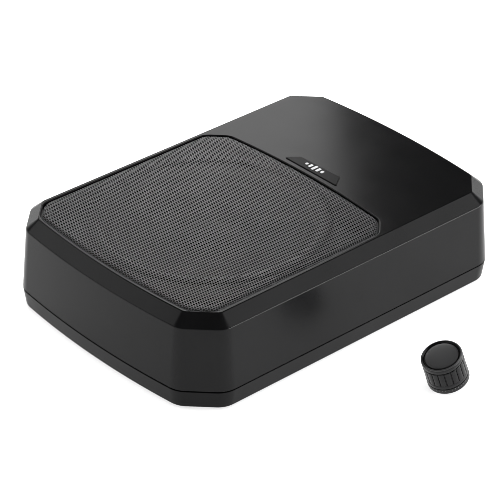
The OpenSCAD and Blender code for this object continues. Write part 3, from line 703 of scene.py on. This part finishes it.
def badge_plate():
    corners = [(59.0, -29.6), (70.8, -21.4), (69.6, 24.0), (59.0, 32.6)]
    badge = plate("badge_plate", corners, DECK - 0.8, DECK + 0.75, 0.45, 3, 1.0)
    return finish_mesh(badge, 40, weighted=True)


def badge_level_bars():
    """Five plain bars, as on a level meter."""
    bars = []
    for i, length in enumerate((3.4, 5.4, 7.0, 4.6, 2.6)):
        y = -7.7 + i * 4.6
        x = 64.5 - length / 2 + 0.5
        corners = [(x, y), (x + length, y), (x + length, y + 2.4), (x, y + 2.4)]
        bars.append(plate("bar", corners, DECK + 0.7, DECK + 1.05, 0.12, 2, 0.5))
    return finish_mesh(merge("badge_level_bars", bars), 40)


# ================= driver =================


def radial_blend(piece):
    """Bakes the piece's placement into its mesh and reads its vertex positions, but does nothing with them.
    """
    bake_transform(piece)
    count = len(piece.data.vertices)
    co = np.empty(count * 3)
    piece.data.vertices.foreach_get("co", co)
    co = co.reshape(-1, 3)


def driver_surround():
    """Half-roll ring with a lip on each side."""
    mid, roll, skin, foot = 80.6, 5.4, 0.9, 69.5
    upper = [(mid - roll - 4.8, foot + skin), (mid - roll - 0.6, foot + skin)]
    lower = [(mid + roll + 4.8, foot), (mid + roll - skin, foot)]
    for k in range(13):
        a = math.pi - math.pi * k / 12
        z = max(math.sin(a) * roll, 0)
        upper.append((mid + math.cos(a) * roll, foot + max(z, skin)))
        b = math.pi * k / 12
        lower.append((mid + math.cos(b) * (roll - skin), foot + math.sin(b) * (roll - skin)))
    upper += [(mid + roll + 0.6, foot + skin), (mid + roll + 4.8, foot + skin)]
    lower.append((mid - roll - 4.8, foot))
    path = upper + lower
    piece = lathe("driver_surround", path, 128, looped=True)
    placed(piece, Matrix.Translation((GRILLE_X * MM, 0, 0)))
    finish_mesh(piece, 50)
    wear(piece, SURROUND)
    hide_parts("surround")
    radial_blend(piece)
    return piece


def driver_spider():
    """Corrugated disc between the coil former and the basket."""
    inner, outer, foot, thick, rise, waves = 19.6, 65.0, 46.5, 0.7, 1.1, 5
    steps = 60
    lower = []
    for i in range(steps + 1):
        wave = (1 - math.cos(TAU * waves * i / steps)) / 2
        lower.append((inner + (outer - inner) * i / steps, foot + rise * wave))
    upper = [(r, z + thick) for r, z in lower]
    piece = lathe("driver_spider", upper + lower[::-1], 96, looped=True)
    placed(piece, Matrix.Translation((GRILLE_X * MM, 0, 0)))
    finish_mesh(piece, 50)
    wear(piece, SPIDER)
    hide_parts("spider")
    radial_blend(piece)
    return piece


# Route of the flexible leads, (radius, height), from the terminal block in to the coil former.
LEAD_ROUTE = [
    (67.0, 42.6), (70.6, 42.8), (73.0, 45.0), (73.2, 49.8), (70.5, 52.8), (64.0, 53.4),
    (52.0, 52.0), (40.0, 51.6), (30.0, 52.6), (23.2, 52.4), (20.4, 51.6),
]
LEAD_RADIUS = 0.6


def smooth_route(points, steps=5):
    """Points on a curve that passes through all the given ones."""
    route = []
    for i in range(len(points) - 1):
        p0, p1 = points[max(i - 1, 0)], points[i]
        p2, p3 = points[i + 1], points[min(i + 2, len(points) - 1)]
        for k in range(steps):
            t = k / steps
            route.append(0.5 * (
                2 * p1 + (p2 - p0) * t + (2 * p0 - 5 * p1 + 4 * p2 - p3) * t * t
                + (3 * p1 - p0 - 3 * p2 + p3) * t * t * t
            ))
    return route + [points[-1]]


def twisted_lead(name, route, radius, sides=12, turn=0.35):
    """Round cord along a route, with the shallow twist of stranded wire."""
    rings = []
    side = Vector((0, 1, 0))
    for i, here in enumerate(route):
        along = (route[min(i + 1, len(route) - 1)] - route[max(i - 1, 0)]).normalized()
        across = (side - along * side.dot(along)).normalized()
        third = along.cross(across)
        ring = []
        for k in range(sides):
            a = TAU * k / sides
            r = radius * (1 + 0.09 * math.cos(3 * a + turn * i))
            ring.append(here + across * (r * math.cos(a)) + third * (r * math.sin(a)))
        rings.append(ring)
    return loft(name, rings)


def driver_leads():
    """Flexible leads from the terminal block in to the coil former."""
    leads = []
    for s in (-1, 1):
        points = [Vector((GRILLE_X + r, s * (5 - 0.3 * i), z)) for i, (r, z) in enumerate(LEAD_ROUTE)]
        leads.append(twisted_lead("lead", smooth_route(points), LEAD_RADIUS))
    piece = finish_mesh(merge("driver_leads", leads), 50)
    wear(piece, COPPER)
    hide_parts("tinsel_leads")
    radial_blend(piece)
    return piece


# ================= control panel =================


def panel_dial(name, y):
    """Fluted knob with a rounded top and a pale pointer, turning about X."""
    flutes, count = 12, 144
    rings = []
    path = [(3.0, -8.5, 0), (3.0, 0.0, 0), (5.5, 0.0, 0.0), (5.8, 0.3, 0.4), (5.6, 1.2, 1.0)]
    path += [(5.25, 4.6, 1.0), (5.1, 5.4, 0.8), (4.8, 5.85, 0.4), (4.3, 6.0, 0.1), (1.0, 6.0, 0)]
    for radius, z, share in path:
        ring = []
        for i in range(count):
            a = TAU * i / count
            groove = max(0.0, math.cos(flutes * a)) ** 3 * 0.55 * share
            ring.append(((radius - groove) * math.cos(a), (radius - groove) * math.sin(a), z))
        rings.append(ring)
    body = loft(name, rings)
    centre = Matrix.Translation(((PANEL_FACE + 0.5) * MM, y * MM, KNOB_ROW * MM))
    turn = centre @ Matrix.Rotation(math.pi / 2, 4, "Y")
    placed(body, turn)
    finish_mesh(body, 34)
    pointer = box_form(name + "_pointer", (-4.3, -0.35, 5.6), (-0.9, 0.35, 6.1), 0.12)
    placed(pointer, turn)
    finish_mesh(pointer, 40)
    return body, pointer


def panel_ticks():
    """Scale marks round the three dials, printed on the panel."""
    marks = []
    for y in KNOB_AT.values():
        for k in range(11):
            a = math.radians(-135 + 27 * k)
            length = 1.9 if k in (0, 5, 10) else 1.2
            mark = box_form("mark", (-0.15, -0.18, 7.2), (0.1, 0.18, 7.2 + length), 0.04, 1)
            place = Matrix.Translation((PANEL_FACE * MM, y * MM, KNOB_ROW * MM)) @ Matrix.Rotation(a, 4, "X")
            marks.append(placed(mark, place))
    return finish_mesh(merge("panel_ticks", marks), 40)


def socket_lips():
    """Rounded collars of the line inputs."""
    collars = []
    corners = [(4.2, -0.6, 0), (5.75, -0.6, 0), (5.75, 1.5, 0.4), (4.9, 1.5, 0.0), (4.2, 1.2, 0)]
    path = rounded_path(corners, 3)
    for y in LINE_INPUT_AT:
        centre = Matrix.Translation((PANEL_FACE * MM, y * MM, LINE_INPUT_ROW * MM))
        collar = lathe("collar", path, 48, looped=True)
        collars.append(placed(collar, centre @ Matrix.Rotation(math.pi / 2, 4, "Y")))
    return finish_mesh(merge("socket_lips", collars), 40)


# ================= remote =================

remote_place = (
    Matrix.Translation(
        (REMOTE_AT[0] * MM, REMOTE_AT[1] * MM, (FLOOR + REMOTE_RADIUS * math.sin(REMOTE_TILT)) * MM)
    )
    @ Matrix.Rotation(REMOTE_HEADING, 4, "Z")
    @ Matrix.Rotation(REMOTE_TILT, 4, "Y")
)

RIBS = 20
GROOVE_DEPTH = 0.75
RIM_FOOT, RIM_INNER = 25.2, 15.1  # height and radius beyond which the grip's rim round the cap takes the cap's lighter grey, a painted reflection


def remote_base():
    """Fixed housing: a shallow cup with the bushing under it."""
    corners = [
        (1.8, -BUSHING_LENGTH, 0.3), (BUSHING_RADIUS, -BUSHING_LENGTH, 0.25), (BUSHING_RADIUS, 0, 0.3),
        (REMOTE_RADIUS, 0, 0.3), (REMOTE_RADIUS, 4.4, 0.35), (14.9, 4.4, 0.2), (14.9, 2, 0.2), (1.8, 2, 0.2),
    ]
    cup = lathe("remote_base", rounded_path(corners, 3), 128, looped=True)
    return finish_mesh(placed(cup, remote_place), 40)


def remote_grip():
    """Sleeve with flat ribs between narrow grooves, a plain skirt below and a ring above a neck.

    The second material, the cap's lighter grey, paints a reflection on the rim round the cap.
    """
    fractions = [0.0, 0.035, 0.06, 0.10, 0.16, 0.34, 0.5, 0.66, 0.84, 0.90, 0.94, 0.965]
    depth = [1.0, 1.0, 0.55, 0.12, 0.0, -0.1, -0.13, -0.1, 0.0, 0.12, 0.55, 1.0]
    # (radius, height, share of the groove)
    path = [
        # skirt
        (14.2, 4.8, 0), (16.2, 4.8, 0), (16.5, 4.95, 0), (16.6, 5.3, 0), (16.6, 7.7, 0), (16.5, 8.1, 0),
        # ribs
        (16.4, 8.25, 0), (16.38, 8.6, 0.8), (16.38, 9.0, 1), (16.38, 20.2, 1), (16.34, 20.6, 1),
        (16.1, 20.95, 1),
        # neck and ring
        (15.6, 21.05, 0), (15.6, 21.95, 0), (16.2, 22.0, 0), (16.42, 22.15, 0), (16.5, 22.5, 0),
        (16.5, 24.5, 0), (16.44, 24.95, 0), (16.28, 25.35, 0), (16.0, 25.75, 0), (15.7, 26.02, 0),
        (15.45, 26.14, 0), (15.2, 26.14, 0), (15.05, 26.02, 0),
        # seat of the cap
        (14.2, 25.0, 0), (14.05, 24.8, 0), (14.0, 24.6, 0), (14.0, 24.0, 0), (5.0, 24.0, 0), (3.0, 24.0, 0),
        # inside: bore, sleeve and wall
        (3.0, 10.4, 0), (5.5, 10.4, 0), (5.5, 20.8, 0), (13.4, 20.8, 0), (13.4, 4.9, 0),
    ]
    rings = []
    for radius, z, share in path:
        ring = []
        for rib in range(RIBS):
            for fraction, cut in zip(fractions, depth):
                a = TAU * (rib + fraction) / RIBS
                r = radius - GROOVE_DEPTH * share * cut
                ring.append((r * math.cos(a), r * math.sin(a), z))
        rings.append(ring)
    grip = loft("remote_grip", rings, looped=True)
    for face in grip.data.polygons:
        centre = face.center / MM
        # Painted reflection: the rim faces take the cap's lighter grey.
        if centre.z > RIM_FOOT and math.hypot(centre.x, centre.y) > RIM_INNER:
            face.material_index = 1
    return finish_mesh(placed(grip, remote_place), 38)


def remote_ticks():
    """Small marks on the fixed ring below the grip."""
    marks = []
    for k in range(40):
        mark = box_form("mark", (REMOTE_RADIUS - 0.3, -0.14, 2.6), (REMOTE_RADIUS + 0.04, 0.14, 3.7), 0.03, 1)
        marks.append(placed(mark, Matrix.Rotation(TAU * k / 40, 4, "Z")))
    return finish_mesh(placed(merge("remote_ticks", marks), remote_place), 40)


def remote_cap_disc():
    """Slightly domed disc with a rounded edge."""
    path = [(1.0, 24.0), (13.1, 24.0), (13.3, 24.2), (13.3, 24.9), (13.2, 25.25), (12.9, 25.5), (12.5, 25.62)]
    path += [(11.0, 25.75), (8.0, 25.93), (4.0, 26.05), (1.0, 26.1)]
    return finish_mesh(placed(lathe("remote_cap_disc", path, 96), remote_place), 40)


def remote_gap_ring():
    """Dark ring at the bottom of the gap round the cap."""
    path = rounded_path([(13.3, 23.95, 0), (14.05, 23.95, 0), (14.05, 24.5, 0.1), (13.3, 24.5, 0.1)], 2)
    return finish_mesh(placed(lathe("remote_gap_ring", path, 96, looped=True), remote_place), 60)


# ================= assembly =================

for node, material in CAD_LOOKS.items():
    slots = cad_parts[node].material_slots
    if slots:
        for entry in slots:
            entry.material = material
    else:
        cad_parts[node].data.materials.append(material)

settle(wear(housing_shell(), SHELL), "enclosure", "shell_plastic", "top_shell")
settle(wear(base_tray(), BASE), "enclosure", "base_plastic", "base_pan")
settle(wear(foot_pads(), FEET), "enclosure", "feet_rubber", "rubber_feet")
settle(wear(perforated_sheet(), MESH, MESH_HOLE_SHADE), "enclosure", "grille_steel", "grille_mesh")
settle(wear(grille_hem(), MESH), "enclosure", "grille_steel")
settle(wear(badge_plate(), BADGE), "enclosure", "badge_plastic", "badge")
settle(wear(badge_level_bars(), EMBLEM), "enclosure", "badge_metal", "badge_bars")
driver_surround()
driver_spider()
driver_leads()
for label, y in KNOB_AT.items():
    dial, pointer = panel_dial(f"{label}_dial", y)
    settle(wear(dial, KNOB), f"{label}_control", "knob_plastic", f"{label}_knob")
    settle(wear(pointer, PRINT), f"{label}_control", "slider_plastic")
settle(wear(panel_ticks(), PRINT), "enclosure", "slider_plastic")
settle(wear(socket_lips(), NICKEL), "enclosure", "nickel")
settle(wear(remote_base(), REMOTE_SHELL), "remote_body", "remote_plastic", "remote_housing")
settle(wear(remote_ticks(), FAINT_PRINT), "remote_body", "remote_plastic")
settle(wear(remote_grip(), REMOTE_GRIP, CAP_AND_PAINTED_RIM_REFLECTION), "remote_dial", "remote_knob_plastic", "remote_knob")
settle(wear(remote_gap_ring(), REMOTE_DARK), "remote_dial", "ring_plastic", "remote_ring")
settle(wear(remote_cap_disc(), CAP_AND_PAINTED_RIM_REFLECTION), "remote_dial", "remote_cap_plastic", "remote_cap")

# ================= studio =================


def studio_floor():
    mesh = bpy.data.meshes.new("studio floor")
    half = 6.0
    z = FLOOR * MM
    corners = [(-half, -half, z), (half, -half, z), (half, half, z), (-half, half, z)]
    mesh.from_pydata(corners, [], [(0, 1, 2, 3)])
    floor = link("studio_floor", mesh)
    shader = Shader("studio paper", (0.9, 0.9, 0.9), 0.9, Emission_Strength=0.72)
    shader.shader.inputs["Emission Color"].default_value = (1, 1, 1, 1)
    shader.grain(2.0, 0.02)
    wear(floor, shader.material)


def softbox(name, position, target, size, power):
    light = bpy.data.lights.new(name, "AREA")
    light.shape = "RECTANGLE"
    light.size, light.size_y = size
    light.energy = power
    lamp = bpy.data.objects.new(name, light)
    bpy.context.scene.collection.objects.link(lamp)
    lamp.location = position
    lamp.visible_camera = False
    direction = Vector(target) - Vector(position)
    lamp.rotation_euler = direction.to_track_quat("-Z", "Y").to_euler()
    return lamp


def studio_world():
    """Pale at the horizon and darker higher up, as in a studio with a white sweep."""
    world = bpy.data.worlds.new("studio")
    bpy.context.scene.world = world
    world.use_nodes = True
    nodes, links = world.node_tree.nodes, world.node_tree.links
    coordinates = nodes.new("ShaderNodeTexCoord")
    parts = nodes.new("ShaderNodeSeparateXYZ")
    height = nodes.new("ShaderNodeMapRange")
    height.interpolation_type = "SMOOTHSTEP"
    height.inputs["From Min"].default_value = 0.02
    height.inputs["From Max"].default_value = 0.30
    height.inputs["To Min"].default_value = 1.5
    height.inputs["To Max"].default_value = 0.03
    links.new(coordinates.outputs["Generated"], parts.inputs["Vector"])
    links.new(parts.outputs["Z"], height.inputs["Value"])
    links.new(height.outputs["Result"], nodes["Background"].inputs["Strength"])
    nodes["Background"].inputs["Color"].default_value = (1, 1, 1, 1)


CAMERA_AT = Vector((-1186.71, -1304.18, 1127.05)) * MM
CAMERA_AZIMUTH = math.radians(-42.103)
CAMERA_ELEVATION = math.radians(31.927)
CAMERA_ROLL = math.radians(0.54)
CAMERA_LENS = 182.67


def studio_camera():
    forward = Vector((
        -math.sin(CAMERA_AZIMUTH) * math.cos(CAMERA_ELEVATION),
        math.cos(CAMERA_AZIMUTH) * math.cos(CAMERA_ELEVATION),
        -math.sin(CAMERA_ELEVATION),
    ))
    right = Vector((math.cos(CAMERA_AZIMUTH), math.sin(CAMERA_AZIMUTH), 0))
    up = right.cross(forward)
    tilted_right = right * math.cos(CAMERA_ROLL) + up * math.sin(CAMERA_ROLL)
    tilted_up = -right * math.sin(CAMERA_ROLL) + up * math.cos(CAMERA_ROLL)
    data = bpy.data.cameras.new("camera")
    data.lens = CAMERA_LENS
    data.sensor_width = 36
    data.clip_end = 30
    camera = bpy.data.objects.new("camera", data)
    bpy.context.scene.collection.objects.link(camera)
    turn = Matrix((tilted_right, tilted_up, -forward)).transposed().to_4x4()
    camera.matrix_world = Matrix.Translation(CAMERA_AT) @ turn
    bpy.context.scene.camera = camera


studio_floor()
studio_world()
softbox("overhead", (0.0, 0.0, 2.2), (0, 0, 0), (2.4, 2.4), 26).visible_glossy = False
softbox("behind", (0.454, 0.518, 0.42), (0.1, 0.03, 0.08), (0.2, 0.5), 0.9)
softbox("back", (0.18, 0.56, 0.42), (-0.06, 0.0, 0.08), (0.34, 0.5), 1.0)
softbox("left", (-0.85, 0.85, 0.75), (-0.17, 0.05, 0.08), (0.9, 0.7), 3.2)
softbox("side", (0.85, -0.86, 1.0), (0.0, -0.1, 0.08), (1.2, 0.8), 5.6)
softbox("rim", (0.75, -1.0, 0.18), (0.05, -0.12, 0.07), (1.4, 0.2), 11)
studio_camera()

# As crisp as the photograph, so that the grille's holes read as holes.
bpy.context.scene.cycles.filter_width = 0.8
settings = bpy.context.scene.view_settings
settings.view_transform = "Standard"
settings.look = "None"
